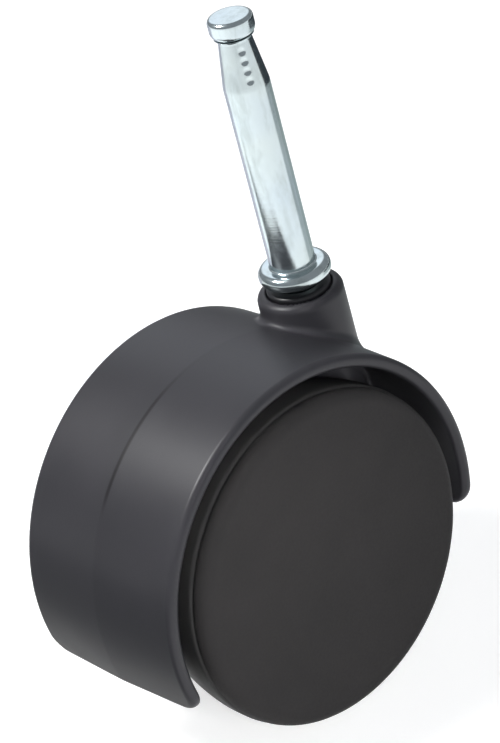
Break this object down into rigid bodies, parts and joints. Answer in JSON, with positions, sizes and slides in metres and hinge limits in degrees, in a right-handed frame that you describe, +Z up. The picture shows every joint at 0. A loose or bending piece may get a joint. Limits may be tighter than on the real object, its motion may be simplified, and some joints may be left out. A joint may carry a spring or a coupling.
{
  "type": "chair caster wheel",
  "caption": "Hooded twin-wheel swivel chair caster with a steel grip-neck stem, a collar and a dark moulded casing over both wheels.",
  "frame": {"origin": "on the swivel axis, in the plane of the top face of the stem's collar, which seats against the chair leg", "axes": "+Z up along the stem, +X from the axle towards the stem, Y along the axle with the left wheel on +Y"},
  "size_m": [0.061, 0.0356, 0.1004],
  "materials": {
    "zinc_plated_steel": "bright zinc plate",
    "spring_steel": "black oxide",
    "casing_nylon": "satin moulded, charcoal",
    "wheel_nylon": "matt moulded, charcoal",
    "cover_polypropylene": "matt moulded, charcoal",
    "bush_acetal": "black, slightly glossy"
  },
  "bodies": {
    "stem": {"stem": "zinc_plated_steel", "stem_ring": "spring_steel"},
    "casing": {"casing": "casing_nylon", "swivel_bush": "bush_acetal", "thrust_pad": "spring_steel", "axle": "zinc_plated_steel", "axle_washer_left": "zinc_plated_steel", "axle_washer_right": "zinc_plated_steel", "axle_clip_left": "spring_steel", "axle_clip_right": "spring_steel"},
    "wheel_left": {"wheel_core_left": "wheel_nylon", "wheel_cover_left": "cover_polypropylene"},
    "wheel_right": {"wheel_core_right": "wheel_nylon", "wheel_cover_right": "cover_polypropylene"}
  },
  "joints": [
    {"name": "swivel", "type": "hinge", "parent": "stem", "child": "casing", "pos_m": [0, 0, 0], "axis": [0, 0, 1], "continuous": true},
    {"name": "wheel_left_spin", "type": "hinge", "parent": "casing", "child": "wheel_left", "pos_m": [-0.0192, 0, -0.035], "axis": [0, 1, 0], "continuous": true},
    {"name": "wheel_right_spin", "type": "hinge", "parent": "casing", "child": "wheel_right", "pos_m": [-0.0192, 0, -0.035], "axis": [0, 1, 0], "continuous": true}
  ]
}
